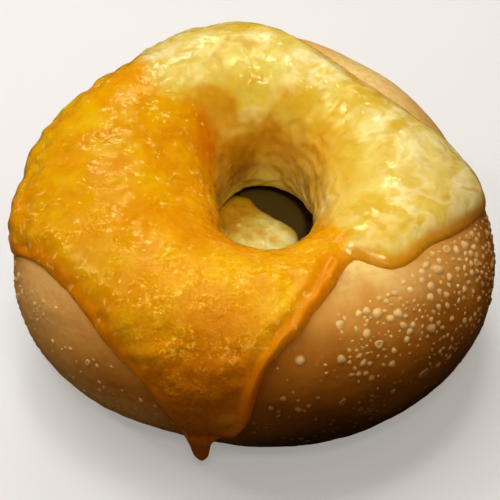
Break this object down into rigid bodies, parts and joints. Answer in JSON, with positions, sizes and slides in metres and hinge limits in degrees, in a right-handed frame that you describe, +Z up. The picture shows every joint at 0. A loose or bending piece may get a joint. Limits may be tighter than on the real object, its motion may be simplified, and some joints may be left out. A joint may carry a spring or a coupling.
{
  "type": "cheese bagel",
  "caption": "Ring-shaped bagel with a flat base, blistered crust and two kinds of cheese melted over its top and down the wall of its hole.",
  "frame": {"origin": "centre of the bounding box's bottom face, on the surface that the bagel rests on", "axes": "+Z up through the hole, -Y towards the front where the cheese drips, +X towards the pale cheese's corner"},
  "size_m": [0.1108, 0.1093, 0.045],
  "materials": {
    "crust": "baked crust, satin, golden brown with pale blisters",
    "orange_cheese": "melted orange cheese, glossy and wrinkled",
    "pale_cheese": "melted pale yellow cheese, glossy and wrinkled",
    "pool_cheese": "set cream and orange cheese, soft gloss"
  },
  "bodies": {
    "root": {"bread_ring": "crust", "orange_cheese": "orange_cheese", "pale_cheese": "pale_cheese", "cheese_pool": "pool_cheese"}
  },
  "joints": []
}
